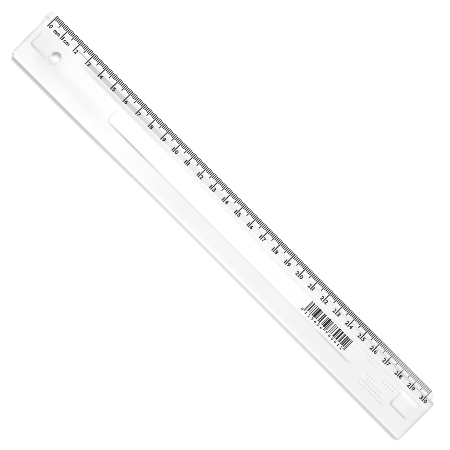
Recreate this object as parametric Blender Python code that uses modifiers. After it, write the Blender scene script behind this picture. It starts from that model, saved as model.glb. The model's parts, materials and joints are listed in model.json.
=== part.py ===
"""A clear plastic 30 cm ruler: one injection moulding, lying flat with its scale side up.

X runs along the scale from zero to thirty, Y points at the scale edge and Z is up.
The origin is the centre of the underside of the bounding box.
"""

import math

import bmesh
import bpy

MM = 0.001

# Plan. Distances along are read on the scale, distances across are from the scale edge.
SCALE_LENGTH = 300 * MM
WIDTH = 34 * MM
TONGUE_BEFORE_ZERO = 5.0 * MM
TONGUE_PAST_LAST = 3.0 * MM
PLATE_BEFORE_ZERO = 3.8 * MM
PLATE_PAST_LAST = 6.2 * MM

# Section: a thin tongue carries the scale, a step and a long bevel rise to the flat plate.
TONGUE_THICKNESS = 1.0 * MM
TONGUE_ROOT = 8.0 * MM
STEP_FOOT = 4.1 * MM
STEP_TOP = 5.2 * MM
STEP_HEIGHT = 0.6 * MM
BEVEL_END = 11.0 * MM
PLATE_THICKNESS = 2.2 * MM

# Corners and edges
TONGUE_CORNER = 1.6 * MM
PLATE_SCALE_CORNER = 1.4 * MM
PLATE_BACK_CORNER = 3.0 * MM
EDGE_ROUND = 0.22 * MM
EDGE_SEGMENTS = 2
ARC_STEPS = 8

# Hanging hole with its raised boss
HOLE_ALONG = 15.8 * MM
HOLE_ACROSS = 17.0 * MM
HOLE_RADIUS = 2.9 * MM
BOSS_FOOT_RADIUS = 4.9 * MM
BOSS_TOP_RADIUS = 3.9 * MM
ROUND_STEPS = 48

# Raised pads near both ends: along from, along to, across from, across to
LEFT_PAD = (-0.2 * MM, 12.6 * MM, 11.3 * MM, 22.3 * MM)
RIGHT_PAD = (287.4 * MM, 301.2 * MM, 11.3 * MM, 22.6 * MM)
PAD_CORNER = 2.2 * MM
PAD_WALL = 1.1 * MM
RAISED_HEIGHT = 0.35 * MM

# Long grip panel between the pads, with a low crest along its middle
GRIP = (60.5 * MM, 257.0 * MM, 11.5 * MM, 22.3 * MM)
GRIP_CORNER = 3.6 * MM
GRIP_WALL = 0.6 * MM
GRIP_SHOULDER = 0.22 * MM
GRIP_CREST_ACROSS = 16.7 * MM

# How far raised features reach down into the plate, and cutters reach past it
SINK = 0.1 * MM
CLEAR = 1.0 * MM

WELD = 0.001 * MM
SNAP_DECIMALS = 7
# A face points up when its normal rises further than this
UPWARD = 0.9
FLAT_ANGLE = math.radians(0.5)
SHARP_ANGLE = math.radians(30)
ROUNDED_ANGLE = math.radians(50)

PLASTIC_COLOUR = (0.90, 0.92, 0.93, 1.0)
PLASTIC_ROUGHNESS = 0.06
PLASTIC_IOR = 1.59


def along(reading):
    """World X of a reading on the scale."""
    middle = (SCALE_LENGTH + PLATE_PAST_LAST - TONGUE_BEFORE_ZERO) / 2
    return reading - middle


def across(distance):
    """World Y of a distance from the scale edge."""
    return WIDTH / 2 - distance


def clear_scene():
    for old in list(bpy.data.objects):
        bpy.data.objects.remove(old, do_unlink=True)


def make_collection(name):
    collection = bpy.data.collections.new(name)
    bpy.context.scene.collection.children.link(collection)
    return collection


def clear_plastic():
    material = bpy.data.materials.new("clear_plastic")
    material.use_nodes = True
    shader = material.node_tree.nodes["Principled BSDF"]
    shader.inputs["Base Color"].default_value = PLASTIC_COLOUR
    shader.inputs["Roughness"].default_value = PLASTIC_ROUGHNESS
    shader.inputs["Metallic"].default_value = 0.0
    shader.inputs["IOR"].default_value = PLASTIC_IOR
    shader.inputs["Transmission Weight"].default_value = 1.0
    return material


def corner_arc(centre_x, centre_y, radius, start):
    """Points of a quarter turn, anticlockwise from the start angle."""
    points = []
    for step in range(ARC_STEPS + 1):
        angle = start + math.pi / 2 * step / ARC_STEPS
        points.append((centre_x + radius * math.cos(angle), centre_y + radius * math.sin(angle)))
    return points


def rounded_outline(area, scale_side_corner, back_side_corner):
    """Plan outline of an area, with one corner radius toward the scale edge and one away from it."""
    left, right = along(area[0]), along(area[1])
    top, bottom = across(area[2]), across(area[3])
    r, s = scale_side_corner, back_side_corner
    return (
        corner_arc(right - r, top - r, r, 0)
        + corner_arc(left + r, top - r, r, math.pi / 2)
        + corner_arc(left + s, bottom + s, s, math.pi)
        + corner_arc(right - s, bottom + s, s, math.pi * 1.5)
    )


def prism(name, outline, half_length, location, rotation, collection):
    """A flat outline as a filled 2D curve, extruded both ways and turned into a closed mesh."""
    curve = bpy.data.curves.new(name, "CURVE")
    curve.dimensions = "2D"
    curve.fill_mode = "BOTH"
    curve.extrude = half_length
    spline = curve.splines.new("POLY")
    spline.points.add(len(outline) - 1)
    for point, (x, y) in zip(spline.points, outline):
        point.co = (x, y, 0, 1)
    spline.use_cyclic_u = True
    guide = bpy.data.objects.new(name + "_outline", curve)
    guide.location = location
    guide.rotation_euler = rotation
    collection.objects.link(guide)
    bpy.context.view_layer.update()

    evaluated = guide.evaluated_get(bpy.context.evaluated_depsgraph_get())
    mesh = bpy.data.meshes.new_from_object(evaluated)
    mesh.transform(guide.matrix_world)
    weld(mesh)
    bpy.data.objects.remove(guide, do_unlink=True)
    solid = bpy.data.objects.new(name, mesh)
    collection.objects.link(solid)
    return solid


def weld(mesh):
    """Closes the caps of an extruded outline and joins its flat triangles into whole faces.

    Rounding to a tenth of a micrometre puts the faces of two prisms in exactly the same plane.
    """
    bm = bmesh.new()
    bm.from_mesh(mesh)
    for vert in bm.verts:
        vert.co = [round(value, SNAP_DECIMALS) for value in vert.co]
    bmesh.ops.remove_doubles(bm, verts=bm.verts, dist=WELD)
    bmesh.ops.dissolve_limit(bm, angle_limit=FLAT_ANGLE, verts=bm.verts, edges=bm.edges)
    bmesh.ops.recalc_face_normals(bm, faces=bm.faces)
    bm.to_mesh(mesh)
    bm.free()


def plan_prism(name, outline, low, high, collection):
    """An outline in plan, from one height to another."""
    return prism(name, outline, (high - low) / 2, (0, 0, (low + high) / 2), (0, 0, 0), collection)


def section_prism(name, section, start, end, collection):
    """A section of (distance across, height) points, run along the ruler."""
    outline = [(across(distance), height) for distance, height in section]
    middle = (along(start) + along(end)) / 2
    turned = (math.pi / 2, 0, math.pi / 2)
    return prism(name, outline, (end - start) / 2, (middle, 0, 0), turned, collection)


def join_flat_faces(solid):
    """Joins the faces that a Boolean left split in one plane, so that Bevel meets clean edges."""
    planar = solid.modifiers.new("flat_faces", "DECIMATE")
    planar.decimate_type = "DISSOLVE"
    planar.angle_limit = FLAT_ANGLE


def round_edges(solid):
    bevel = solid.modifiers.new("rounded_edges", "BEVEL")
    bevel.width = EDGE_ROUND
    bevel.segments = EDGE_SEGMENTS
    bevel.limit_method = "ANGLE"
    bevel.angle_limit = ROUNDED_ANGLE
    bevel.use_clamp_overlap = True


def combine(solid, other, operation):
    boolean = solid.modifiers.new(other.name, "BOOLEAN")
    boolean.operation = operation
    boolean.solver = "EXACT"
    boolean.object = other


def as_cutter(solid):
    solid.hide_render = True
    solid.display_type = "WIRE"
    return solid


def scale_tongue(cutters):
    """The thin strip that carries the millimetre lines, rooted inside the plate."""
    area = (-TONGUE_BEFORE_ZERO, SCALE_LENGTH + TONGUE_PAST_LAST, 0, TONGUE_ROOT)
    outline = rounded_outline(area, TONGUE_CORNER, TONGUE_CORNER)
    return as_cutter(plan_prism("scale_tongue", outline, 0, TONGUE_THICKNESS, cutters))


def plate_limits(cutters):
    """The plate's plan outline, which trims the section run to rounded corners."""
    area = (-PLATE_BEFORE_ZERO, SCALE_LENGTH + PLATE_PAST_LAST, STEP_FOOT, WIDTH)
    outline = rounded_outline(area, PLATE_SCALE_CORNER, PLATE_BACK_CORNER)
    return as_cutter(plan_prism("plate_limits", outline, -CLEAR, PLATE_THICKNESS + CLEAR, cutters))


def grown(area, margin):
    """An area with a margin added on all four sides."""
    return (area[0] - margin, area[1] + margin, area[2] - margin, area[3] + margin)


def raised_pad(name, area, cutters):
    """A low pad with rounded corners. Its sloping walls start a little below the plate's face."""
    spread = PAD_WALL / RAISED_HEIGHT * SINK
    outline = rounded_outline(grown(area, spread), PAD_CORNER + spread, PAD_CORNER + spread)
    root = PLATE_THICKNESS - SINK
    pad = plan_prism(name, outline, root - SINK, root, cutters)
    bm = bmesh.new()
    bm.from_mesh(pad.data)
    top = [face for face in bm.faces if face.normal.z > UPWARD]
    bmesh.ops.inset_individual(
        bm, faces=top, thickness=PAD_WALL + spread, depth=RAISED_HEIGHT + SINK, use_even_offset=True
    )
    bm.to_mesh(pad.data)
    bm.free()
    return as_cutter(pad)


def hole_boss(cutters):
    """A low cone frustum that surrounds the hanging hole."""
    slope = (BOSS_FOOT_RADIUS - BOSS_TOP_RADIUS) / RAISED_HEIGHT
    bpy.ops.mesh.primitive_cone_add(
        vertices=ROUND_STEPS,
        radius1=BOSS_FOOT_RADIUS + slope * SINK,
        radius2=BOSS_TOP_RADIUS,
        depth=SINK + RAISED_HEIGHT,
        location=(
            along(HOLE_ALONG),
            across(HOLE_ACROSS),
            PLATE_THICKNESS + (RAISED_HEIGHT - SINK) / 2,
        ),
    )
    return take_primitive("hole_boss", cutters)


def hanging_hole(cutters):
    height = PLATE_THICKNESS + RAISED_HEIGHT + 2 * CLEAR
    bpy.ops.mesh.primitive_cylinder_add(
        vertices=ROUND_STEPS,
        radius=HOLE_RADIUS,
        depth=height,
        location=(along(HOLE_ALONG), across(HOLE_ACROSS), height / 2 - CLEAR),
    )
    return take_primitive("hanging_hole", cutters)


def take_primitive(name, cutters):
    """Names the primitive just added and moves it in with the cutters."""
    solid = bpy.context.active_object
    solid.name = name
    for collection in list(solid.users_collection):
        collection.objects.unlink(solid)
    cutters.objects.link(solid)
    return as_cutter(solid)


def grip_panel(cutters):
    """The long raised panel: walls, shoulders and a low crest, trimmed to rounded ends."""
    start, end, near, far = GRIP
    base = PLATE_THICKNESS - SINK
    spread = GRIP_WALL / GRIP_SHOULDER * SINK
    shoulder = PLATE_THICKNESS + GRIP_SHOULDER
    crest = PLATE_THICKNESS + RAISED_HEIGHT
    section = [
        (near - spread, base),
        (near + GRIP_WALL, shoulder),
        (GRIP_CREST_ACROSS, crest),
        (far - GRIP_WALL, shoulder),
        (far + spread, base),
    ]
    panel = section_prism("grip_panel", section, start - CLEAR, end + CLEAR, cutters)
    outline = rounded_outline((start, end, near - CLEAR, far + CLEAR), GRIP_CORNER, GRIP_CORNER)
    limits = plan_prism("grip_limits", outline, base - CLEAR, crest + CLEAR, cutters)
    combine(panel, as_cutter(limits), "INTERSECT")
    return as_cutter(panel)


def ruler_body(parts, cutters):
    step_top = TONGUE_THICKNESS + STEP_HEIGHT
    section = [
        (STEP_FOOT, 0),
        (STEP_FOOT, TONGUE_THICKNESS),
        (STEP_TOP, step_top),
        (BEVEL_END, PLATE_THICKNESS),
        (WIDTH, PLATE_THICKNESS),
        (WIDTH, 0),
    ]
    start = -PLATE_BEFORE_ZERO - CLEAR
    end = SCALE_LENGTH + PLATE_PAST_LAST + CLEAR
    body = section_prism("ruler_body", section, start, end, parts)
    combine(body, plate_limits(cutters), "INTERSECT")
    combine(body, scale_tongue(cutters), "UNION")
    join_flat_faces(body)
    round_edges(body)
    combine(body, raised_pad("left_pad", LEFT_PAD, cutters), "UNION")
    combine(body, raised_pad("right_pad", RIGHT_PAD, cutters), "UNION")
    combine(body, grip_panel(cutters), "UNION")
    combine(body, hole_boss(cutters), "UNION")
    combine(body, hanging_hole(cutters), "DIFFERENCE")
    body.data.shade_smooth()
    body.data.set_sharp_from_angle(angle=SHARP_ANGLE)
    body.data.materials.append(clear_plastic())
    return body


def main():
    clear_scene()
    parts = make_collection("clear_ruler")
    cutters = make_collection("cutters")
    ruler_body(parts, cutters)


main()
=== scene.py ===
"""Looks of the clear plastic 30 cm ruler.

One finely made moulding stands for the CAD body. The scale, its numerals and a dummy bar code
lie on it as thin layers of ink. X runs along the scale, Y points at the scale edge, Z is up,
and everything is in metres.
"""

import json
import math

import bmesh
import bpy
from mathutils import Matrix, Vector


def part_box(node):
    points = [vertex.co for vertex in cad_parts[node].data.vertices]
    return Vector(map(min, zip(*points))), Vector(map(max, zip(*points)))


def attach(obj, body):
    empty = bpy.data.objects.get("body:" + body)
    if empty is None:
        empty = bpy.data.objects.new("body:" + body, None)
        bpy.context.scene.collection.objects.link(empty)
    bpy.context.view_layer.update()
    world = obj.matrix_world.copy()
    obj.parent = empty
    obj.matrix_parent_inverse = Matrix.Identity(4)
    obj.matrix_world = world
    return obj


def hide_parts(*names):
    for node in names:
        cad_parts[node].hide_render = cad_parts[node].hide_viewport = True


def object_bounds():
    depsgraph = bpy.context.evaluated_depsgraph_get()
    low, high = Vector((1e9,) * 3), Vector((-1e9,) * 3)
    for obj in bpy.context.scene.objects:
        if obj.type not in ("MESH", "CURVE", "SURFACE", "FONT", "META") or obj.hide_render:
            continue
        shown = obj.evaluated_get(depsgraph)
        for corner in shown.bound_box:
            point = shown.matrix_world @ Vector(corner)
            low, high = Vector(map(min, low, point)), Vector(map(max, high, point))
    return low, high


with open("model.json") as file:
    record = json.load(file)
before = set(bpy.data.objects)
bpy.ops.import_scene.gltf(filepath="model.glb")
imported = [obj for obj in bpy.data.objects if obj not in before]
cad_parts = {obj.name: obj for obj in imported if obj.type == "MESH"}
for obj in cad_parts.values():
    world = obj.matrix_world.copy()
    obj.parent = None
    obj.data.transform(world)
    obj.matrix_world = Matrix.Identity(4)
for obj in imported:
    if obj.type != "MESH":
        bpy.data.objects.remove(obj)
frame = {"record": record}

CAD_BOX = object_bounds()
BODY = "root"
BODY_LOW, BODY_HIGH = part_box("ruler_body")

MM = 0.001

# The CAD body's driving dimensions. Distances along are read on the scale, and distances
# across are from the scale edge.
SCALE_MILLIMETRES = 300
SCALE_LENGTH = SCALE_MILLIMETRES * MM
TONGUE_BEFORE_ZERO = 5.0 * MM
TONGUE_PAST_LAST = 3.0 * MM
PLATE_BEFORE_ZERO = 3.8 * MM
TONGUE_THICKNESS = 1.0 * MM
TONGUE_ROOT = 8.0 * MM
STEP_FOOT = 4.1 * MM
STEP_TOP = 5.2 * MM
STEP_HEIGHT = 0.6 * MM
BEVEL_END = 11.0 * MM
RAISED_HEIGHT = 0.35 * MM
TONGUE_CORNER = 1.6 * MM
PLATE_SCALE_CORNER = 1.4 * MM
PLATE_BACK_CORNER = 3.0 * MM
HOLE_RADIUS = 2.9 * MM
BOSS_FOOT_RADIUS = 4.9 * MM
BOSS_TOP_RADIUS = 3.9 * MM
LEFT_PAD = (-0.2 * MM, 12.6 * MM, 11.3 * MM, 22.3 * MM)
RIGHT_PAD = (287.4 * MM, 301.2 * MM, 11.3 * MM, 22.6 * MM)
PAD_CORNER = 2.2 * MM
PAD_WALL = 1.1 * MM
GRIP = (60.5 * MM, 257.0 * MM, 11.5 * MM, 22.3 * MM)
GRIP_CORNER = 3.6 * MM
GRIP_WALL = 0.6 * MM
GRIP_SHOULDER = 0.22 * MM
GRIP_CREST_ACROSS = 16.7 * MM

# Read from the frame: the outer sizes, where the scale starts and the hole's centre
WIDTH = BODY_HIGH.y - BODY_LOW.y
ZERO_X = BODY_LOW.x + TONGUE_BEFORE_ZERO
PLATE_END = BODY_HIGH.x - ZERO_X
PLATE_THICKNESS = BODY_HIGH.z - RAISED_HEIGHT
HOLE_BOX = frame["record"]["physics"]["openings"][0]

# Fine surface of the moulding
EDGE_ROUND = 0.20 * MM
EDGE_SEGMENTS = 4
CORNER_STEPS = 14
ROUND_STEPS = 96
SOFT_CREASE = 0.35 * MM
CREASE_STEPS = 4
RIM_ROUND = 0.18 * MM
RIM_STEPS = 5
# The share of a sloping wall that is straight before its rim rounds over
WALL_STRAIGHT = 0.7
GRIP_RIM = GRIP_WALL * (2 - WALL_STRAIGHT)
# How far raised shapes reach into the plate, and how far cutters reach past what they cut
SINK = 0.1 * MM
CLEAR = 1.0 * MM
FLAT_ANGLE = math.radians(0.2)
ROUNDED_ANGLE = math.radians(50)
SHARP_ANGLE = math.radians(35)

# Embossed marks in place of moulded lettering. Each row is where it starts along the scale, its
# distance across and how many marks it has.
MARK_HEIGHT = 0.12 * MM
MARK_LENGTH = 1.2 * MM
MARK_WIDTH = 1.0 * MM
MARK_PITCH = 1.8 * MM
MARK_CORNER = 0.46 * MM
MARK_WALL = 0.34 * MM
MARK_ROWS = (
    (260.0 * MM, 12.2 * MM, 5),
    (276.4 * MM, 13.2 * MM, 5),
    (276.4 * MM, 15.4 * MM, 5),
    (266.8 * MM, 18.4 * MM, 4),
    (268.6 * MM, 20.6 * MM, 7),
    (266.8 * MM, 22.8 * MM, 10),
    (266.8 * MM, 25.0 * MM, 11),
)

# Print: how far the ink stands on the plastic and how far it is pressed in
INK_RISE = 0.014 * MM
INK_SINK = 0.004 * MM
LINE_START = 0.06 * MM
LINE_WIDTH = 0.60 * MM
CM_LINE_WIDTH = 0.66 * MM
MM_LINE_END = 2.9 * MM
HALF_LINE_END = 4.3 * MM
CM_LINE_END = 8.3 * MM

NUMERAL_BASE = 8.2 * MM
NUMERAL_HEIGHT = 2.55 * MM
NUMERAL_WIDTH = 1.75 * MM
NUMERAL_ONE_WIDTH = 0.75 * MM
NUMERAL_GAP = 0.72 * MM
UNIT_BASE = 8.2 * MM
UNIT_HEIGHT = 1.75 * MM
# Each unit mark's word, where it starts and its width
UNIT_MARKS = (("mm", 4.2 * MM, 4.4 * MM), ("cm", 12.1 * MM, 4.2 * MM))
# How much the font's strokes are thickened, its half thickness before it is laid on the plastic,
# and the distance within which its points are joined
LETTER_WEIGHT = 0.10 * MM
LETTER_HALF_DEPTH = 0.5
LETTER_RESOLUTION = 4
WELD_DISTANCE = 0.0005 * MM

# Where the print turns a lighter grey, as (reading or distance, share) stops, and its colour there
INK_LIGHTENING_ALONG = ((252 * MM, 0.0), (265 * MM, 0.45), (278 * MM, 0.9), (303 * MM, 1.0))
INK_LIGHTENING_ACROSS = ((0.0, 1.0), (4.0 * MM, 1.0), (5.0 * MM, 0.0))
LIGHTER_INK = (0.26, 0.26, 0.27, 1.0)

CODE_START = 215.5 * MM
CODE_MODULE = 0.343 * MM
CODE_PRINT_GAIN = 0.10 * MM
CODE_TOP = 11.9 * MM
CODE_BAR_END = 18.0 * MM
CODE_GUARD_END = 19.3 * MM
CODE_DIGIT_BASE = 20.2 * MM
CODE_DIGIT_HEIGHT = 1.85 * MM
CODE_DIGIT_WIDTH = 1.25 * MM
CODE_NUMBER = "0123456789012"
CODE_HALF_DIGITS = 6
# In modules: a digit's width, where each half's digits start, and how far the first digit, which
# has no bars, stands before the code
CODE_DIGIT_MODULES = 7
CODE_HALF_STARTS = (3, 50)
CODE_LEAD_MODULES = 2.6
# The widths of bars and spaces, by turns, in the guards and in each digit from 0 to 9
CODE_END_GUARD = "111"
CODE_MIDDLE_GUARD = "11111"
CODE_WIDTHS = ("3211", "2221", "2122", "1411", "1132", "1231", "1114", "1312", "1213", "3112")

# Camera, floor and lights
CAMERA_DISTANCE = 1.0
CAMERA_LENS = 141.1
SENSOR_WIDTH = 36.0
CAMERA_LEAN = math.radians(1.69)
CAMERA_ROLL = math.radians(45.007)
CAMERA_AIM = Vector((-0.50 * MM, 0.39 * MM, 0.0))
FLOOR_SIZE = 8.0
FLOOR_GAP = 0.04 * MM
KEY_DIRECTION = Vector((-0.27, 0.65, 0.71))
KEY_DISTANCE = 3.0
KEY_SIZE = 1.2
KEY_POWER = 75.5
WORLD_COLOUR = (0.90, 0.90, 0.90, 1.0)
WORLD_STRENGTH = 0.70
# A sharp film keeps the fine print apart, and full light paths keep the clear plastic smooth
PIXEL_FILTER = 0.7
LEAST_BOUNCES = 8

# How the light through the plastic and the painted shade on its slopes vary, as (reading or
# distance, strength) stops. The ruler is a little bowed, so the grey bands under its bevel and the
# dark lines by its edges come and go.
EDGE_SHADE_ALONG = (
    (-5 * MM, 0.95), (23 * MM, 0.92), (65 * MM, 0.85), (107 * MM, 0.62), (147 * MM, 0.5),
    (254 * MM, 0.65), (290 * MM, 0.75), (303 * MM, 0.8),
)
# Past the first centimetres only the lower part of a wall casts a shadow
EDGE_FADE_ALONG = ((-5 * MM, 0.0), (45 * MM, 0.1), (100 * MM, 0.9), (303 * MM, 1.0))
EDGE_FADE_HEIGHTS = (0.5 * MM, 1.9 * MM)
# How strongly the slopes' painted shade and painted highlights show, along the scale
SLOPE_SHADE_ALONG = (
    (-5 * MM, 0.8), (2 * MM, 0.6), (7 * MM, 0.35), (12 * MM, 0.3), (18 * MM, 0.3), (24 * MM, 0.4),
    (62 * MM, 0.5), (76 * MM, 0.9), (88 * MM, 0.8), (106 * MM, 0.3), (225 * MM, 0.25),
    (233 * MM, 0.45), (256 * MM, 0.45), (264 * MM, 0.7), (285 * MM, 0.9), (288 * MM, 0.65),
    (303 * MM, 0.6),
)
# The level directions of the slopes' painted light and shade, and of the light that meets the walls
SLOPE_LIGHT = (0.35, 0.94, 0.0)
WALL_LIGHT = (-0.50, 0.87, 0.0)
# Painted shade and painted light. Each zone is a depth of grey (below zero for painted light), its
# strength along the scale and its strength across the ruler
PAINTED_LIGHT_AND_SHADE_ZONES = (
    # Painted shade at the ends
    (
        0.075,
        ((-5 * MM, 0.7), (14 * MM, 0.7), (26 * MM, 0.3), (60 * MM, 0.05), (205 * MM, 0.1),
         (228 * MM, 0.5), (262 * MM, 1.0), (303 * MM, 1.0)),
        ((0.0, 0.6), (9.0 * MM, 1.0), (34 * MM, 1.0)),
    ),
    # Painted shadow behind the numerals
    (
        0.37,
        ((31.5 * MM, 0.0), (32.5 * MM, 1.0), (68 * MM, 1.0), (74 * MM, 0.75), (90 * MM, 0.75),
         (96 * MM, 0.42), (140 * MM, 0.42), (175 * MM, 0.16), (303 * MM, 0.16)),
        ((5.45 * MM, 0.0), (5.85 * MM, 1.0), (8.2 * MM, 1.0), (8.45 * MM, 0.0)),
    ),
    # A thin painted shade line that leads to it
    (
        0.45,
        ((12 * MM, 0.1), (20 * MM, 0.35), (22.5 * MM, 1.0), (31 * MM, 1.0), (33 * MM, 0.0)),
        ((5.45 * MM, 0.0), (5.6 * MM, 1.0), (6.0 * MM, 1.0), (6.15 * MM, 0.0)),
    ),
    # Painted shade at the foot of the numerals' bevel
    (
        0.19,
        ((28 * MM, 0.0), (30 * MM, 0.5), (42 * MM, 1.0), (62 * MM, 1.0), (90 * MM, 0.7),
         (110 * MM, 0.25), (150 * MM, 0.25), (303 * MM, 0.0)),
        ((8.8 * MM, 0.0), (9.0 * MM, 1.0), (11.0 * MM, 0.9), (11.2 * MM, 0.0)),
    ),
    # Painted shade on the top of the step
    (
        0.30,
        ((-5 * MM, 0.2), (95 * MM, 0.33), (225 * MM, 0.4), (262 * MM, 0.7), (303 * MM, 1.0)),
        ((4.6 * MM, 0.0), (5.1 * MM, 1.0), (5.6 * MM, 1.0), (5.9 * MM, 0.0)),
    ),
    # Painted light on the grip panel
    (
        -0.045,
        ((52 * MM, 0.0), (63 * MM, 1.0), (200 * MM, 1.0), (232 * MM, 0.4), (258 * MM, 0.0)),
        ((11.2 * MM, 0.0), (11.7 * MM, 1.0), (15.4 * MM, 1.0), (16.6 * MM, 0.4), (17.8 * MM, 0.9),
         (21.3 * MM, 1.0), (21.9 * MM, 0.0)),
    ),
    # The painted shadow under the grip panel's back wall
    (
        0.22,
        ((61 * MM, 0.0), (66 * MM, 0.5), (78 * MM, 1.0), (88 * MM, 0.8), (104 * MM, 0.3),
         (150 * MM, 0.12), (228 * MM, 0.12), (236 * MM, 0.7), (250 * MM, 0.8), (257 * MM, 0.0)),
        ((21.3 * MM, 0.0), (21.9 * MM, 1.0), (22.4 * MM, 1.0), (23.4 * MM, 0.0)),
    ),
    # Painted shade on the plain side
    (
        0.07,
        ((75 * MM, 0.0), (115 * MM, 0.9), (200 * MM, 1.0), (255 * MM, 0.3), (303 * MM, 0.1)),
        ((22.0 * MM, 0.0), (22.6 * MM, 1.0), (30.0 * MM, 0.8), (33.0 * MM, 0.0)),
    ),
    # Painted shade on the left pad
    (
        0.05,
        ((-3.8 * MM, 0.2), (0.5 * MM, 0.9), (12 * MM, 0.8), (24 * MM, 0.2), (34 * MM, 0.0)),
        ((8.5 * MM, 0.0), (10.5 * MM, 1.0), (19.0 * MM, 1.0), (21.5 * MM, 1.4), (24.0 * MM, 0.3),
         (28 * MM, 0.0)),
    ),
    # Painted shade on the left pad's end toward the zero
    (
        0.032,
        ((-4.5 * MM, 0.5), (-0.5 * MM, 0.7), (0.5 * MM, 1.0), (6.0 * MM, 1.0), (10.5 * MM, 0.0)),
        ((8.0 * MM, 0.0), (10.0 * MM, 0.8), (14.0 * MM, 0.8), (16.0 * MM, 1.0), (21.5 * MM, 1.0),
         (22.5 * MM, 0.0)),
    ),
    # Painted shade on the plastic below the left pad and the hole
    (
        0.06,
        ((2 * MM, 0.0), (10 * MM, 1.0), (48 * MM, 1.0), (72 * MM, 0.0)),
        ((18.5 * MM, 0.0), (22.5 * MM, 1.0), (25.0 * MM, 0.9), (29.0 * MM, 0.0)),
    ),
    # Painted shade in the crease between the bevel and the flat
    (
        0.10,
        ((162 * MM, 0.0), (176 * MM, 0.8), (301 * MM, 1.0), (302 * MM, 0.0)),
        ((10.7 * MM, 0.0), (10.95 * MM, 1.0), (11.15 * MM, 1.0), (11.4 * MM, 0.0)),
    ),
    # The painted highlight line inside the back edge
    (
        -0.035,
        ((-5 * MM, 1.0), (303 * MM, 1.0)),
        ((31.3 * MM, 0.0), (32.3 * MM, 1.0), (33.2 * MM, 1.0), (33.5 * MM, 0.0)),
    ),
    # The painted shade line at the back edge
    (
        0.28,
        ((40 * MM, 0.0), (102 * MM, 0.8), (303 * MM, 1.0)),
        ((33.1 * MM, 0.0), (33.5 * MM, 1.0), (34.0 * MM, 1.0)),
    ),
    # The painted highlight line between the two bands
    (
        -0.06,
        ((20 * MM, 0.0), (30 * MM, 1.0), (110 * MM, 1.0), (150 * MM, 0.0)),
        ((8.3 * MM, 0.0), (8.45 * MM, 1.0), (8.75 * MM, 1.0), (8.9 * MM, 0.0)),
    ),
    # Painted shade on the end past the right pad
    (
        0.036,
        ((296.0 * MM, 0.0), (299.5 * MM, 1.0), (306.2 * MM, 1.0)),
        ((9.6 * MM, 0.0), (10.6 * MM, 1.0), (20.0 * MM, 1.0), (24.0 * MM, 0.4), (26.0 * MM, 0.0)),
    ),
    # The right pad's left wall, with painted light toward the scale edge
    (
        -0.05,
        ((287.1 * MM, 0.0), (287.4 * MM, 1.0), (288.6 * MM, 1.0), (288.9 * MM, 0.0)),
        ((11.4 * MM, 0.0), (11.9 * MM, 1.0), (14.5 * MM, 1.0), (17.5 * MM, 0.5), (18.5 * MM, 0.0)),
    ),
    # The same wall, with painted shade toward the back edge
    (
        0.07,
        ((286.9 * MM, 0.0), (287.4 * MM, 1.0), (288.6 * MM, 1.0), (289.4 * MM, 0.0)),
        ((18.5 * MM, 0.0), (19.8 * MM, 1.0), (21.6 * MM, 1.0), (22.8 * MM, 0.0)),
    ),
    # The painted highlight inside the right pad's wall on the scale side
    (
        -0.09,
        ((288.4 * MM, 0.0), (289.4 * MM, 1.0), (299.6 * MM, 1.0), (300.6 * MM, 0.0)),
        ((11.9 * MM, 0.0), (12.3 * MM, 1.0), (13.4 * MM, 1.0), (14.6 * MM, 0.0)),
    ),
    # Painted shade on the tongue's edge near the last centimetres
    (
        0.5,
        ((190 * MM, 0.0), (225 * MM, 0.3), (250 * MM, 0.8), (299.6 * MM, 1.0), (300.6 * MM, 0.0)),
        ((0.0, 1.0), (0.35 * MM, 1.0), (0.6 * MM, 0.0)),
    ),
    # Painted shade on the tongue before the zero
    (
        0.03,
        ((-4.8 * MM, 0.7), (-2.6 * MM, 1.0), (-0.8 * MM, 1.0), (0.0, 0.0)),
        ((0.2 * MM, 0.0), (0.5 * MM, 1.0), (3.9 * MM, 1.0), (4.1 * MM, 0.0)),
    ),
    # Painted shade on the plate's corners by the tongue
    (
        0.15,
        ((-3.9 * MM, 1.0), (-2.8 * MM, 1.0), (-1.8 * MM, 0.0), (305.0 * MM, 0.0),
         (305.5 * MM, 1.0)),
        ((3.9 * MM, 0.0), (4.1 * MM, 1.0), (4.7 * MM, 1.0), (5.1 * MM, 0.0)),
    ),
    # Painted shade on the plate's back corner at the zero end
    (
        0.5,
        ((-3.5 * MM, 0.0), (-3.1 * MM, 1.0), (-2.4 * MM, 1.0), (-2.0 * MM, 0.0)),
        ((32.4 * MM, 0.0), (32.9 * MM, 1.0), (34.0 * MM, 1.0)),
    ),
    # The painted shade line at the zero end
    (
        0.16,
        ((-5.0 * MM, 0.5), (-4.6 * MM, 0.5), (-4.3 * MM, 0.2), (-3.9 * MM, 0.2), (-3.8 * MM, 1.0),
         (-3.3 * MM, 1.0), (-2.6 * MM, 0.0)),
        ((0.0, 0.6), (15.0 * MM, 0.9), (17.5 * MM, 1.5), (22.5 * MM, 1.5), (26.0 * MM, 1.0)),
    ),
    # The painted shade line at the other end
    (
        0.16,
        ((304.9 * MM, 0.0), (305.5 * MM, 1.0), (306.2 * MM, 1.0)),
        ((4.0 * MM, 0.6), (9.0 * MM, 0.6), (11.0 * MM, 1.0), (25.0 * MM, 1.0), (32.0 * MM, 0.5)),
    ),
)

# How far slopes are painted dark or light, and how much light walls pass, as (how far they face the
# light, share) stops
SLOPE_SHADES = (
    (-1.0, 0.50), (-0.5, 0.20), (-0.28, 0.28), (-0.10, 0.60), (-0.02, 1.0), (0.11, 1.0),
    (0.17, 1.10), (0.34, 1.20), (0.42, 0.70), (0.49, 0.75), (0.57, 1.1), (0.8, 1.1), (1.0, 1.0),
)
WALL_SHADES = (
    (-1.0, 0.2), (-0.5, 0.15), (-0.36, 0.9), (-0.30, 1.0), (0.3, 1.0), (0.5, 0.3), (1.0, 0.9),
)

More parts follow.
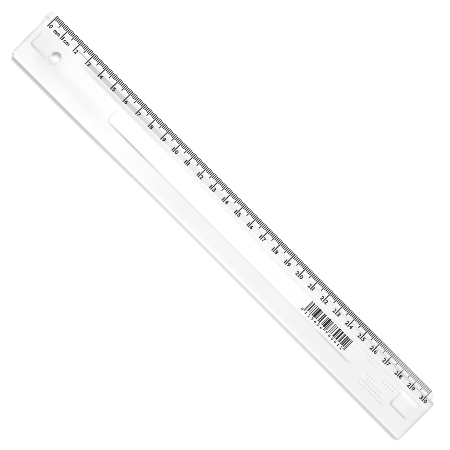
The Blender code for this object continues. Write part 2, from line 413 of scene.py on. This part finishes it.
# Surfaces. A noise is its scale, detail and roughness, tones are (noise, grey) stops, a roughness is
# the noise range used and the values it turns into, and a relief is a bump's strength and height.
PLASTIC_IOR = 1.59
HAZE_NOISE = (60.0, 3.0, 0.5)
HAZE_TONES = ((0.3, 0.930), (0.7, 0.950))
WEAR_NOISE = (900.0, 6.0, 0.65)
WEAR_ROUGHNESS = ((0.45, 0.75), (0.015, 0.05))
WAVE_NOISE = (45.0, 2.0, 0.5)
WAVE_RELIEF = (0.6, 0.04 * MM)
INK_IOR = 1.45
INK_NOISE = (1500.0, 5.0, 0.6)
INK_TONES = ((0.3, 0.005), (0.75, 0.018))
INK_ROUGHNESS = ((0.3, 0.7), (0.42, 0.62))
INK_RELIEF = (0.3, 0.01 * MM)
FLOOR_NOISE = (3.0, 2.0, 0.5)
FLOOR_TONES = ((0.3, 0.895), (0.7, 0.905))


# ---------------------------------------------------------------- places

def along(reading):
    """World X of a reading on the scale."""
    return ZERO_X + reading


def across(distance):
    """World Y of a distance from the scale edge."""
    return BODY_HIGH.y - distance


def softened(path):
    """A path of (distance, height) points with each inner corner turned into a short curve."""
    result = [path[0]]
    for before, corner, after in zip(path, path[1:], path[2:]):
        corner = Vector(corner)
        start = corner + (Vector(before) - corner).normalized() * SOFT_CREASE
        end = corner + (Vector(after) - corner).normalized() * SOFT_CREASE
        for step in range(CREASE_STEPS + 1):
            t = step / CREASE_STEPS
            point = start * (1 - t) ** 2 + corner * 2 * t * (1 - t) + end * t ** 2
            result.append(tuple(point))
    return result + [path[-1]]


def plate_path():
    """The plate's upper surface from the foot of the step to the back edge."""
    return softened([
        (STEP_FOOT, TONGUE_THICKNESS),
        (STEP_TOP, TONGUE_THICKNESS + STEP_HEIGHT),
        (BEVEL_END, PLATE_THICKNESS),
        (WIDTH, PLATE_THICKNESS),
    ])


def pad_profile(wall, height):
    """A raised pad's edge, as (inset, rise) points: a sloping wall that rounds over to the top."""
    profile = [(-wall / height * SINK, -SINK), (wall * WALL_STRAIGHT, height * WALL_STRAIGHT)]
    for step in range(1, RIM_STEPS + 1):
        t = step / RIM_STEPS
        inset = wall * (WALL_STRAIGHT + 2 * (1 - WALL_STRAIGHT) * t)
        profile.append((inset, height * (1 - (1 - WALL_STRAIGHT) * (1 - t) ** 2)))
    return profile


def grip_ridge_path():
    """The low ridge that runs along the grip panel, from rim to rim."""
    near, far = GRIP[2:]
    shoulder = PLATE_THICKNESS + GRIP_SHOULDER
    return softened([
        (near + GRIP_RIM, shoulder),
        (GRIP_CREST_ACROSS, PLATE_THICKNESS + RAISED_HEIGHT),
        (far - GRIP_RIM, shoulder),
    ])


def grip_path():
    """The grip panel's upper surface, from wall to wall over its ridge."""
    near, far = GRIP[2:]
    wall = pad_profile(GRIP_WALL, GRIP_SHOULDER)
    rising = [(near + inset, PLATE_THICKNESS + rise) for inset, rise in wall[:-1]]
    falling = [(far - inset, PLATE_THICKNESS + rise) for inset, rise in wall[-2::-1]]
    return rising + grip_ridge_path() + falling


def scale_path():
    """The surface that carries the scale, from the tongue's rounded edge to the bevel."""
    edge = []
    for step in range(EDGE_SEGMENTS + 1):
        angle = math.pi / 2 * step / EDGE_SEGMENTS
        drop = EDGE_ROUND * (1 - math.sin(angle))
        edge.append((EDGE_ROUND * (1 - math.cos(angle)), TONGUE_THICKNESS - drop))
    return edge + plate_path()


def height_on(path, distance):
    """Height of a path at a distance across."""
    for (a, low), (b, high) in zip(path, path[1:]):
        if a <= distance <= b:
            return low + (high - low) * (distance - a) / (b - a)
    return path[-1][1]


# ---------------------------------------------------------------- mesh tools

def corner_arc(centre_x, centre_y, radius, start):
    """Points of a quarter turn, anticlockwise from the start angle."""
    points = []
    for step in range(CORNER_STEPS + 1):
        angle = start + math.pi / 2 * step / CORNER_STEPS
        points.append((centre_x + radius * math.cos(angle), centre_y + radius * math.sin(angle)))
    return points


def rounded_outline(area, scale_side_corner, back_side_corner):
    """Plan outline of an area, with a corner radius toward the scale edge and one away from it."""
    left, right = along(area[0]), along(area[1])
    top, bottom = across(area[2]), across(area[3])
    r, s = scale_side_corner, back_side_corner
    return (
        corner_arc(right - r, top - r, r, 0)
        + corner_arc(left + r, top - r, r, math.pi / 2)
        + corner_arc(left + s, bottom + s, s, math.pi)
        + corner_arc(right - s, bottom + s, s, math.pi * 1.5)
    )


def at_height(outline, height):
    return [(x, y, height) for x, y in outline]


def upright(section, reading):
    """A section of (distance, height) points, stood up at a reading on the scale."""
    return [(along(reading), across(distance), height) for distance, height in section]


def grown(area, margin):
    """An area with a margin added on all four sides."""
    return (area[0] - margin, area[1] + margin, area[2] - margin, area[3] + margin)


def loft(name, loops):
    """A closed mesh through loops of points, with a face across the first and the last."""
    bm = bmesh.new()
    rings = [[bm.verts.new(point) for point in loop] for loop in loops]
    for lower, upper in zip(rings, rings[1:]):
        for index in range(len(lower)):
            after = (index + 1) % len(lower)
            bm.faces.new((lower[index], lower[after], upper[after], upper[index]))
    bm.faces.new(rings[0])
    bm.faces.new(rings[-1])
    bmesh.ops.recalc_face_normals(bm, faces=bm.faces)
    return mesh_object(name, bm)


def mesh_object(name, bm):
    mesh = bpy.data.meshes.new(name)
    bm.to_mesh(mesh)
    bm.free()
    shape = bpy.data.objects.new(name, mesh)
    bpy.context.scene.collection.objects.link(shape)
    return shape


def combine(solid, other, operation):
    boolean = solid.modifiers.new(other.name, "BOOLEAN")
    boolean.operation = operation
    boolean.solver = "EXACT"
    boolean.object = other


def apply_modifiers(solid, helpers=()):
    """Keeps the evaluated mesh, and removes the helper shapes it was made with."""
    bpy.context.view_layer.update()
    evaluated = solid.evaluated_get(bpy.context.evaluated_depsgraph_get())
    mesh = bpy.data.meshes.new_from_object(evaluated)
    solid.modifiers.clear()
    old = solid.data
    solid.data = mesh
    bpy.data.meshes.remove(old)
    for helper in helpers:
        bpy.data.objects.remove(helper, do_unlink=True)


# ---------------------------------------------------------------- the moulding

def circle(centre, radius, height):
    points = []
    for step in range(ROUND_STEPS):
        angle = 2 * math.pi * step / ROUND_STEPS
        x, y = radius * math.cos(angle), radius * math.sin(angle)
        points.append((centre.x + x, centre.y + y, height))
    return points


def hole_centre():
    low, high = (Vector(corner) for corner in HOLE_BOX["box_m"])
    return (low + high) / 2


def plate():
    """The section run along the ruler, trimmed in plan, with the scale's tongue joined on."""
    section = plate_path() + [(WIDTH, 0.0), (STEP_FOOT, 0.0)]
    ends = (-PLATE_BEFORE_ZERO - CLEAR, PLATE_END + CLEAR)
    body = loft("ruler_moulding", [upright(section, end) for end in ends])
    area = (-PLATE_BEFORE_ZERO, PLATE_END, STEP_FOOT, WIDTH)
    outline = rounded_outline(area, PLATE_SCALE_CORNER, PLATE_BACK_CORNER)
    heights = (-CLEAR, PLATE_THICKNESS + CLEAR)
    limits = loft("plate_limits", [at_height(outline, height) for height in heights])
    area = (-TONGUE_BEFORE_ZERO, SCALE_LENGTH + TONGUE_PAST_LAST, 0, TONGUE_ROOT)
    outline = rounded_outline(area, TONGUE_CORNER, TONGUE_CORNER)
    tongue = loft("tongue", [at_height(outline, 0), at_height(outline, TONGUE_THICKNESS)])
    combine(body, limits, "INTERSECT")
    combine(body, tongue, "UNION")
    planar = body.modifiers.new("flat_faces", "DECIMATE")
    planar.decimate_type = "DISSOLVE"
    planar.angle_limit = FLAT_ANGLE
    bevel = body.modifiers.new("rounded_edges", "BEVEL")
    bevel.width = EDGE_ROUND
    bevel.segments = EDGE_SEGMENTS
    bevel.limit_method = "ANGLE"
    bevel.angle_limit = ROUNDED_ANGLE
    apply_modifiers(body, [limits, tongue])
    return body


def raised_pad(name, area, corner, wall, height):
    """A low pad with sloping walls and a softly rounded top edge."""
    loops = []
    for inset, rise in pad_profile(wall, height):
        outline = rounded_outline(grown(area, -inset), corner - inset, corner - inset)
        loops.append(at_height(outline, PLATE_THICKNESS + rise))
    return loft(name, loops)


def hole_boss():
    """A low ring that slopes up to the hanging hole."""
    centre = hole_centre()
    slope = (BOSS_FOOT_RADIUS - BOSS_TOP_RADIUS) / RAISED_HEIGHT
    return loft("hole_boss", [
        circle(centre, BOSS_FOOT_RADIUS + slope * SINK, PLATE_THICKNESS - SINK),
        circle(centre, BOSS_TOP_RADIUS, PLATE_THICKNESS + RAISED_HEIGHT),
    ])


def hanging_hole():
    """The hole's cutter, flared at both faces so that the rims come out rounded."""
    centre = hole_centre()
    top = PLATE_THICKNESS + RAISED_HEIGHT
    loops = [circle(centre, HOLE_RADIUS + RIM_ROUND, -CLEAR)]
    for face, inward in ((0, 1), (top, -1)):
        arc = []
        for step in range(RIM_STEPS + 1):
            angle = math.pi / 2 * step / RIM_STEPS
            radius = HOLE_RADIUS + RIM_ROUND * (1 - math.sin(angle))
            arc.append(circle(centre, radius, face + inward * RIM_ROUND * (1 - math.cos(angle))))
        loops += arc if inward > 0 else arc[::-1]
    loops.append(circle(centre, HOLE_RADIUS + RIM_ROUND, top + CLEAR))
    return loft("hanging_hole", loops)


def grip_ridge():
    """The grip panel's ridge, trimmed to the panel's rounded rim and sunk into it."""
    path = grip_ridge_path()
    foot = path[0][1] - SINK
    section = [(path[0][0], foot)] + path + [(path[-1][0], foot)]
    ridge = loft("grip_ridge", [upright(section, end) for end in GRIP[:2]])
    corner = GRIP_CORNER - GRIP_RIM
    outline = rounded_outline(grown(GRIP, -GRIP_RIM), corner, corner)
    heights = (foot - CLEAR, foot + CLEAR)
    limits = loft("grip_limits", [at_height(outline, height) for height in heights])
    combine(ridge, limits, "INTERSECT")
    apply_modifiers(ridge, [limits])
    return ridge


def embossed_marks():
    """Rows of plain raised dashes, where the real moulding carries small raised lettering."""
    marks = []
    for start, distance, count in MARK_ROWS:
        for index in range(count):
            left = start + index * MARK_PITCH
            area = (left, left + MARK_LENGTH, distance, distance + MARK_WIDTH)
            name = f"mark_{len(marks)}"
            marks.append(raised_pad(name, area, MARK_CORNER, MARK_WALL, MARK_HEIGHT))
    return marks


def ruler_moulding():
    body = plate()
    raised = [
        raised_pad("left_pad", LEFT_PAD, PAD_CORNER, PAD_WALL, RAISED_HEIGHT),
        raised_pad("right_pad", RIGHT_PAD, PAD_CORNER, PAD_WALL, RAISED_HEIGHT),
        raised_pad("grip_panel", GRIP, GRIP_CORNER, GRIP_WALL, GRIP_SHOULDER),
        grip_ridge(),
        hole_boss(),
    ] + embossed_marks()
    hole = hanging_hole()
    for shape in raised:
        combine(body, shape, "UNION")
    combine(body, hole, "DIFFERENCE")
    apply_modifiers(body, raised + [hole])
    body.data.shade_smooth()
    body.data.set_sharp_from_angle(angle=SHARP_ANGLE)
    normals = body.modifiers.new("face_weighted_normals", "WEIGHTED_NORMAL")
    normals.keep_sharp = True
    return body


# ---------------------------------------------------------------- the print

def add_strip(bm, centre, width, start, end, path):
    """A bar of ink across the ruler that follows the surface below it."""
    inner = [distance for distance, height in path if start < distance < end]
    rows = []
    for distance in [start] + inner + [end]:
        surface = height_on(path, distance)
        row = []
        for side, lift in ((-1, -INK_SINK), (1, -INK_SINK), (1, INK_RISE), (-1, INK_RISE)):
            x = along(centre) + side * width / 2
            row.append(bm.verts.new((x, across(distance), surface + lift)))
        rows.append(row)
    for near, far in zip(rows, rows[1:]):
        for index in range(4):
            after = (index + 1) % 4
            bm.faces.new((near[index], near[after], far[after], far[index]))
    bm.faces.new(rows[0])
    bm.faces.new(rows[-1])


def finish_ink(name, bm):
    bmesh.ops.recalc_face_normals(bm, faces=bm.faces)
    return mesh_object(name, bm)


def scale_lines(name, readings, width, end):
    bm = bmesh.new()
    for reading in readings:
        add_strip(bm, reading * MM, width, LINE_START, end, scale_path())
    return finish_ink(name, bm)


def text_mesh(text):
    """A word as flat solid lettering, centred on its own plane."""
    curve = bpy.data.curves.new("lettering", "FONT")
    curve.body = text
    curve.size = NUMERAL_HEIGHT
    curve.offset = LETTER_WEIGHT
    curve.extrude = LETTER_HALF_DEPTH
    curve.resolution_u = LETTER_RESOLUTION
    guide = bpy.data.objects.new("lettering", curve)
    bpy.context.scene.collection.objects.link(guide)
    bpy.context.view_layer.update()
    evaluated = guide.evaluated_get(bpy.context.evaluated_depsgraph_get())
    mesh = bpy.data.meshes.new_from_object(evaluated)
    bpy.data.objects.remove(guide, do_unlink=True)
    bpy.data.curves.remove(curve)
    return mesh


def add_text(bm, text, left, base, width, height, path):
    """Lettering scaled to a width and a height, and laid on the surface below it."""
    mesh = text_mesh(text)
    xs = [vert.co.x for vert in mesh.vertices]
    ys = [vert.co.y for vert in mesh.vertices]
    stretch_x = width / (max(xs) - min(xs))
    stretch_y = height / (max(ys) - min(ys))
    for vert in mesh.vertices:
        distance = base - (vert.co.y - min(ys)) * stretch_y
        lift = INK_RISE if vert.co.z > 0 else -INK_SINK
        vert.co = (
            along(left + (vert.co.x - min(xs)) * stretch_x),
            across(distance),
            height_on(path, distance) + lift,
        )
    bm.from_mesh(mesh)
    bpy.data.meshes.remove(mesh)


def weld(bm):
    bmesh.ops.remove_doubles(bm, verts=bm.verts, dist=WELD_DISTANCE)


def digit_width(digit):
    return NUMERAL_ONE_WIDTH if digit == "1" else NUMERAL_WIDTH


def add_numeral(bm, digit, left):
    add_text(bm, digit, left, NUMERAL_BASE, digit_width(digit), NUMERAL_HEIGHT, scale_path())


def numerals():
    """0 to 9 stand just right of their line. From 10 on, the two digits stand either side of it."""
    bm = bmesh.new()
    for number, reading in enumerate(range(0, SCALE_MILLIMETRES + 1, 10)):
        digits = str(number)
        add_numeral(bm, digits[-1], reading * MM + NUMERAL_GAP)
        if len(digits) == 2:
            add_numeral(bm, digits[0], reading * MM - NUMERAL_GAP - digit_width(digits[0]))
    weld(bm)
    return finish_ink("ink_numerals", bm)


def unit_marks():
    bm = bmesh.new()
    for word, left, width in UNIT_MARKS:
        add_text(bm, word, left, UNIT_BASE, width, UNIT_HEIGHT, scale_path())
    weld(bm)
    return finish_ink("ink_unit_marks", bm)


def code_bars():
    """The black bars from left to right, as (first module, modules wide, is a guard)."""
    digits = [(CODE_WIDTHS[int(digit)], False) for digit in CODE_NUMBER[1:]]
    halves = digits[:CODE_HALF_DIGITS], digits[CODE_HALF_DIGITS:]
    end, middle = (CODE_END_GUARD, True), (CODE_MIDDLE_GUARD, True)
    bars = []
    module = 0
    black = True
    for widths, guard in [end, *halves[0], middle, *halves[1], end]:
        for width in map(int, widths):
            if black:
                bars.append((module, width, guard))
            module += width
            black = not black
    return bars


def bar_code():
    bm = bmesh.new()
    for module, width, guard in code_bars():
        centre = CODE_START + (module + width / 2) * CODE_MODULE
        end = CODE_GUARD_END if guard else CODE_BAR_END
        add_strip(bm, centre, width * CODE_MODULE + CODE_PRINT_GAIN, CODE_TOP, end, grip_path())
    return finish_ink("ink_code_bars", bm)


def code_digits():
    bm = bmesh.new()
    modules = [-CODE_LEAD_MODULES]
    for start in CODE_HALF_STARTS:
        modules += [start + CODE_DIGIT_MODULES * (index + 0.5) for index in range(CODE_HALF_DIGITS)]
    for digit, module in zip(CODE_NUMBER, modules):
        width = CODE_DIGIT_WIDTH / 2 if digit == "1" else CODE_DIGIT_WIDTH
        left = CODE_START + module * CODE_MODULE - width / 2
        add_text(bm, digit, left, CODE_DIGIT_BASE, width, CODE_DIGIT_HEIGHT, grip_path())
    weld(bm)
    return finish_ink("ink_code_digits", bm)


# ---------------------------------------------------------------- materials

def new_material(name):
    material = bpy.data.materials.new(name)
    material.use_nodes = True
    nodes = material.node_tree.nodes
    nodes.clear()
    return material, nodes, material.node_tree.links


def noise(nodes, links, scale, detail, roughness):
    place = nodes.new("ShaderNodeTexCoord")
    texture = nodes.new("ShaderNodeTexNoise")
    texture.inputs["Scale"].default_value = scale
    texture.inputs["Detail"].default_value = detail
    texture.inputs["Roughness"].default_value = roughness
    links.new(place.outputs["Object"], texture.inputs["Vector"])
    return texture.outputs["Fac"]


def ranged(nodes, links, value, before, after):
    """A value moved smoothly from one (low, high) range to another."""
    node = nodes.new("ShaderNodeMapRange")
    node.interpolation_type = "SMOOTHSTEP"
    node.inputs["From Min"].default_value = before[0]
    node.inputs["From Max"].default_value = before[1]
    node.inputs["To Min"].default_value = after[0]
    node.inputs["To Max"].default_value = after[1]
    links.new(value, node.inputs["Value"])
    return node.outputs["Result"]


def relief(nodes, links, height, strength, distance):
    """A bump whose height follows a noise."""
    bump = nodes.new("ShaderNodeBump")
    bump.inputs["Strength"].default_value = strength
    bump.inputs["Distance"].default_value = distance
    links.new(height, bump.inputs["Height"])
    return bump.outputs["Normal"]


def grey(value):
    return (value, value, value, 1.0)


def ramp(nodes, links, value, stops):
    """A grey that runs through (position, grey) stops."""
    node = nodes.new("ShaderNodeValToRGB")
    points = node.color_ramp.elements
    points[0].position = stops[0][0]
    points[0].color = grey(stops[0][1])
    points[1].position = stops[-1][0]
    points[1].color = grey(stops[-1][1])
    for position, tone in stops[1:-1]:
        points.new(position).color = grey(tone)
    links.new(value, node.inputs["Fac"])
    return node.outputs["Color"]


def calculated(nodes, links, operation, *values):
    """A Math node on sockets or plain numbers."""
    node = nodes.new("ShaderNodeMath")
    node.operation = operation
    for socket, value in zip(node.inputs, values):
        if isinstance(value, float):
            socket.default_value = value
        else:
            links.new(value, socket)
    return node.outputs[0]


def profile(nodes, links, coordinate, stops):
    """A value that runs through (place, value) stops along one coordinate."""
    stops = sorted(stops)
    low, high = stops[0][0], stops[-1][0]
    place = nodes.new("ShaderNodeMapRange")
    place.inputs["From Min"].default_value = low
    place.inputs["From Max"].default_value = high
    links.new(coordinate, place.inputs["Value"])
    curve = [((at - low) / (high - low), value) for at, value in stops]
    return ramp(nodes, links, place.outputs["Result"], curve)


def along_profile(nodes, links, places, stops):
    stops = [(along(reading), value) for reading, value in stops]
    return profile(nodes, links, places["X"], stops)


def across_profile(nodes, links, places, stops):
    stops = [(across(distance), value) for distance, value in stops]
    return profile(nodes, links, places["Y"], stops)


def object_places(nodes, links):
    place = nodes.new("ShaderNodeTexCoord")
    parts = nodes.new("ShaderNodeSeparateXYZ")
    links.new(place.outputs["Object"], parts.inputs["Vector"])
    return parts.outputs


def tone_of_zones(nodes, links, places):
    """The painted light and painted shade zones of the plastic, as one factor."""
    factor = 1.0
    for depth, along_stops, across_stops in PAINTED_LIGHT_AND_SHADE_ZONES:
        strength = calculated(
            nodes, links, "MULTIPLY",
            along_profile(nodes, links, places, along_stops),
            across_profile(nodes, links, places, across_stops),
        )
        zone = calculated(nodes, links, "MULTIPLY_ADD", strength, -depth, 1.0)
        factor = calculated(nodes, links, "MULTIPLY", zone, factor)
    return factor


def turned_to(nodes, links, direction):
    """How far the side that the light meets is turned to a level direction, from -1 to 1."""
    geometry = nodes.new("ShaderNodeNewGeometry")
    dot = nodes.new("ShaderNodeVectorMath")
    dot.operation = "DOT_PRODUCT"
    dot.inputs[1].default_value = direction
    links.new(geometry.outputs["True Normal"], dot.inputs[0])
    return dot.outputs["Value"]


def side_met(nodes, links):
    """1 where the light meets the surface from outside, and -1 from inside the plastic."""
    geometry = nodes.new("ShaderNodeNewGeometry")
    return calculated(nodes, links, "MULTIPLY_ADD", geometry.outputs["Backfacing"], -2.0, 1.0)


def faded_shade(nodes, links, shade, strength):
    """A shade factor that is drawn toward 1 where its strength is less."""
    lost = calculated(nodes, links, "SUBTRACT", 1.0, shade)
    kept = calculated(nodes, links, "MULTIPLY", lost, strength)
    return calculated(nodes, links, "SUBTRACT", 1.0, kept)


def shade_of_slopes(nodes, links, places):
    """Painted shade and highlights: slopes that face the light are painted bright, and those that
    face away are painted dark.
    """
    facing = turned_to(nodes, links, SLOPE_LIGHT)
    outward = calculated(nodes, links, "MULTIPLY", facing, side_met(nodes, links))
    shade = profile(nodes, links, outward, SLOPE_SHADES)
    return faded_shade(nodes, links, shade, along_profile(nodes, links, places, SLOPE_SHADE_ALONG))


def shade_of_walls(nodes, links, places):
    """Light bends away where it leaves through a wall, so the floor beside the wall is dark."""
    from_outside = calculated(nodes, links, "MAXIMUM", side_met(nodes, links), 0.0)
    facing = turned_to(nodes, links, WALL_LIGHT)
    outward = calculated(nodes, links, "MULTIPLY", facing, from_outside)
    shade = profile(nodes, links, outward, WALL_SHADES)
    height = ranged(nodes, links, places["Z"], EDGE_FADE_HEIGHTS, (0.0, 1.0))
    fading = along_profile(nodes, links, places, EDGE_FADE_ALONG)
    lost = calculated(nodes, links, "MULTIPLY", height, fading)
    kept = calculated(nodes, links, "SUBTRACT", 1.0, lost)
    strongest = along_profile(nodes, links, places, EDGE_SHADE_ALONG)
    strength = calculated(nodes, links, "MULTIPLY", strongest, kept)
    return faded_shade(nodes, links, shade, strength)


def clear_plastic():
    """Clear polystyrene: faintly wavy, with a very light haze and fine handling marks, and with
    painted shade and highlights in its colour.
    """
    material, nodes, links = new_material("clear_polystyrene")
    output = nodes.new("ShaderNodeOutputMaterial")
    glass = nodes.new("ShaderNodeBsdfPrincipled")
    glass.inputs["IOR"].default_value = PLASTIC_IOR
    glass.inputs["Transmission Weight"].default_value = 1.0
    places = object_places(nodes, links)
    tone = ramp(nodes, links, noise(nodes, links, *HAZE_NOISE), HAZE_TONES)
    # Painted shade and painted light from the zones and the slopes darken and lighten the plastic's
    # colour
    shade = calculated(
        nodes, links, "MULTIPLY",
        tone_of_zones(nodes, links, places),
        shade_of_slopes(nodes, links, places),
    )
    tone_with_painted_shade = nodes.new("ShaderNodeMix")
    tone_with_painted_shade.data_type = "RGBA"
    tone_with_painted_shade.blend_type = "MULTIPLY"
    tone_with_painted_shade.inputs["Factor"].default_value = 1.0
    links.new(tone, tone_with_painted_shade.inputs["A"])
    links.new(shade, tone_with_painted_shade.inputs["B"])
    links.new(tone_with_painted_shade.outputs["Result"], glass.inputs["Base Color"])
    wear = noise(nodes, links, *WEAR_NOISE)
    links.new(ranged(nodes, links, wear, *WEAR_ROUGHNESS), glass.inputs["Roughness"])
    waves = noise(nodes, links, *WAVE_NOISE)
    links.new(relief(nodes, links, waves, *WAVE_RELIEF), glass.inputs["Normal"])

    lit_through = nodes.new("ShaderNodeBsdfTransparent")
    links.new(shade_of_walls(nodes, links, places), lit_through.inputs["Color"])
    rays = nodes.new("ShaderNodeLightPath")
    shader = glass.outputs[0]
    for kind in ("Is Diffuse Ray", "Is Shadow Ray"):
        mix = nodes.new("ShaderNodeMixShader")
        links.new(rays.outputs[kind], mix.inputs[0])
        links.new(shader, mix.inputs[1])
        links.new(lit_through.outputs[0], mix.inputs[2])
        shader = mix.outputs[0]
    links.new(shader, output.inputs["Surface"])
    return material


def black_ink():
    """Matt black print, a little uneven, and a lighter grey on the tongue's last centimetres."""
    material, nodes, links = new_material("black_print")
    output = nodes.new("ShaderNodeOutputMaterial")
    ink = nodes.new("ShaderNodeBsdfPrincipled")
    ink.inputs["IOR"].default_value = INK_IOR
    mottle = noise(nodes, links, *INK_NOISE)
    tone = ramp(nodes, links, mottle, INK_TONES)
    places = object_places(nodes, links)
    lightening = calculated(
        nodes, links, "MULTIPLY",
        along_profile(nodes, links, places, INK_LIGHTENING_ALONG),
        across_profile(nodes, links, places, INK_LIGHTENING_ACROSS),
    )
    lightened = nodes.new("ShaderNodeMix")
    lightened.data_type = "RGBA"
    links.new(lightening, lightened.inputs["Factor"])
    links.new(tone, lightened.inputs["A"])
    lightened.inputs["B"].default_value = LIGHTER_INK
    links.new(lightened.outputs["Result"], ink.inputs["Base Color"])
    links.new(ranged(nodes, links, mottle, *INK_ROUGHNESS), ink.inputs["Roughness"])
    links.new(relief(nodes, links, mottle, *INK_RELIEF), ink.inputs["Normal"])
    links.new(ink.outputs[0], output.inputs["Surface"])
    return material


def white_floor():
    material, nodes, links = new_material("white_floor")
    output = nodes.new("ShaderNodeOutputMaterial")
    paint = nodes.new("ShaderNodeBsdfDiffuse")
    tone = ramp(nodes, links, noise(nodes, links, *FLOOR_NOISE), FLOOR_TONES)
    links.new(tone, paint.inputs["Color"])
    links.new(paint.outputs[0], output.inputs["Surface"])
    return material


# ---------------------------------------------------------------- the set

def add_camera():
    """Straight above, leaning a little toward the zero end, with the scale on a diagonal."""
    back = Vector((-math.sin(CAMERA_LEAN), 0.0, math.cos(CAMERA_LEAN)))
    right = Vector((math.cos(CAMERA_ROLL), math.sin(CAMERA_ROLL), 0.0))
    right = (right - back * right.dot(back)).normalized()
    up = back.cross(right)
    data = bpy.data.cameras.new("camera")
    data.sensor_width = SENSOR_WIDTH
    data.lens = CAMERA_LENS
    camera = bpy.data.objects.new("camera", data)
    bpy.context.scene.collection.objects.link(camera)
    place = camera.matrix_world.copy()
    low, high = (Vector(corner) for corner in CAD_BOX)
    centre = Vector(((low.x + high.x) / 2, (low.y + high.y) / 2, 0.0))
    position = centre + CAMERA_AIM + back * CAMERA_DISTANCE
    for index, axis in enumerate((right, up, back, position)):
        place.col[index][:3] = axis
    camera.matrix_world = place
    bpy.context.scene.camera = camera


def add_floor():
    half = FLOOR_SIZE / 2
    bm = bmesh.new()
    corners = [(-half, -half), (half, -half), (half, half), (-half, half)]
    bm.faces.new([bm.verts.new((x, y, BODY_LOW.z - FLOOR_GAP)) for x, y in corners])
    floor = mesh_object("floor", bm)
    floor.data.materials.append(white_floor())


def add_lights():
    scene = bpy.context.scene
    light = bpy.data.lights.new("key", "AREA")
    light.shape = "DISK"
    light.size = KEY_SIZE
    light.energy = KEY_POWER
    key = bpy.data.objects.new("key", light)
    key.location = KEY_DIRECTION.normalized() * KEY_DISTANCE
    key.rotation_euler = KEY_DIRECTION.to_track_quat("Z", "Y").to_euler()
    key.visible_glossy = False
    key.visible_transmission = False
    scene.collection.objects.link(key)

    world = bpy.data.worlds.new("studio")
    world.use_nodes = True
    background = world.node_tree.nodes["Background"]
    background.inputs["Color"].default_value = WORLD_COLOUR
    background.inputs["Strength"].default_value = WORLD_STRENGTH
    world.cycles.sampling_method = "NONE"
    scene.world = world
    scene.view_settings.view_transform = "Standard"
    scene.cycles.filter_width = PIXEL_FILTER
    scene.cycles.denoising_prefilter = "NONE"
    scene.cycles.min_light_bounces = LEAST_BOUNCES
    scene.cycles.min_transparent_bounces = LEAST_BOUNCES


def dress(piece, material):
    piece.data.materials.clear()
    piece.data.materials.append(material)
    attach(piece, BODY)


def main():
    moulding = ruler_moulding()
    dress(moulding, clear_plastic())
    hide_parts("ruler_body")

    ink = black_ink()
    readings = range(SCALE_MILLIMETRES + 1)
    millimetres = [reading for reading in readings if reading % 5]
    halves = [reading for reading in readings if reading % 10 == 5]
    centimetres = [reading for reading in readings if reading % 10 == 0]
    pieces = [
        scale_lines("ink_millimetre_lines", millimetres, LINE_WIDTH, MM_LINE_END),
        scale_lines("ink_half_centimetre_lines", halves, LINE_WIDTH, HALF_LINE_END),
        scale_lines("ink_centimetre_lines", centimetres, CM_LINE_WIDTH, CM_LINE_END),
        numerals(),
        unit_marks(),
        bar_code(),
        code_digits(),
    ]
    for piece in pieces:
        dress(piece, ink)
        piece.visible_shadow = False
        piece.visible_diffuse = False

    add_floor()
    add_lights()
    add_camera()


main()
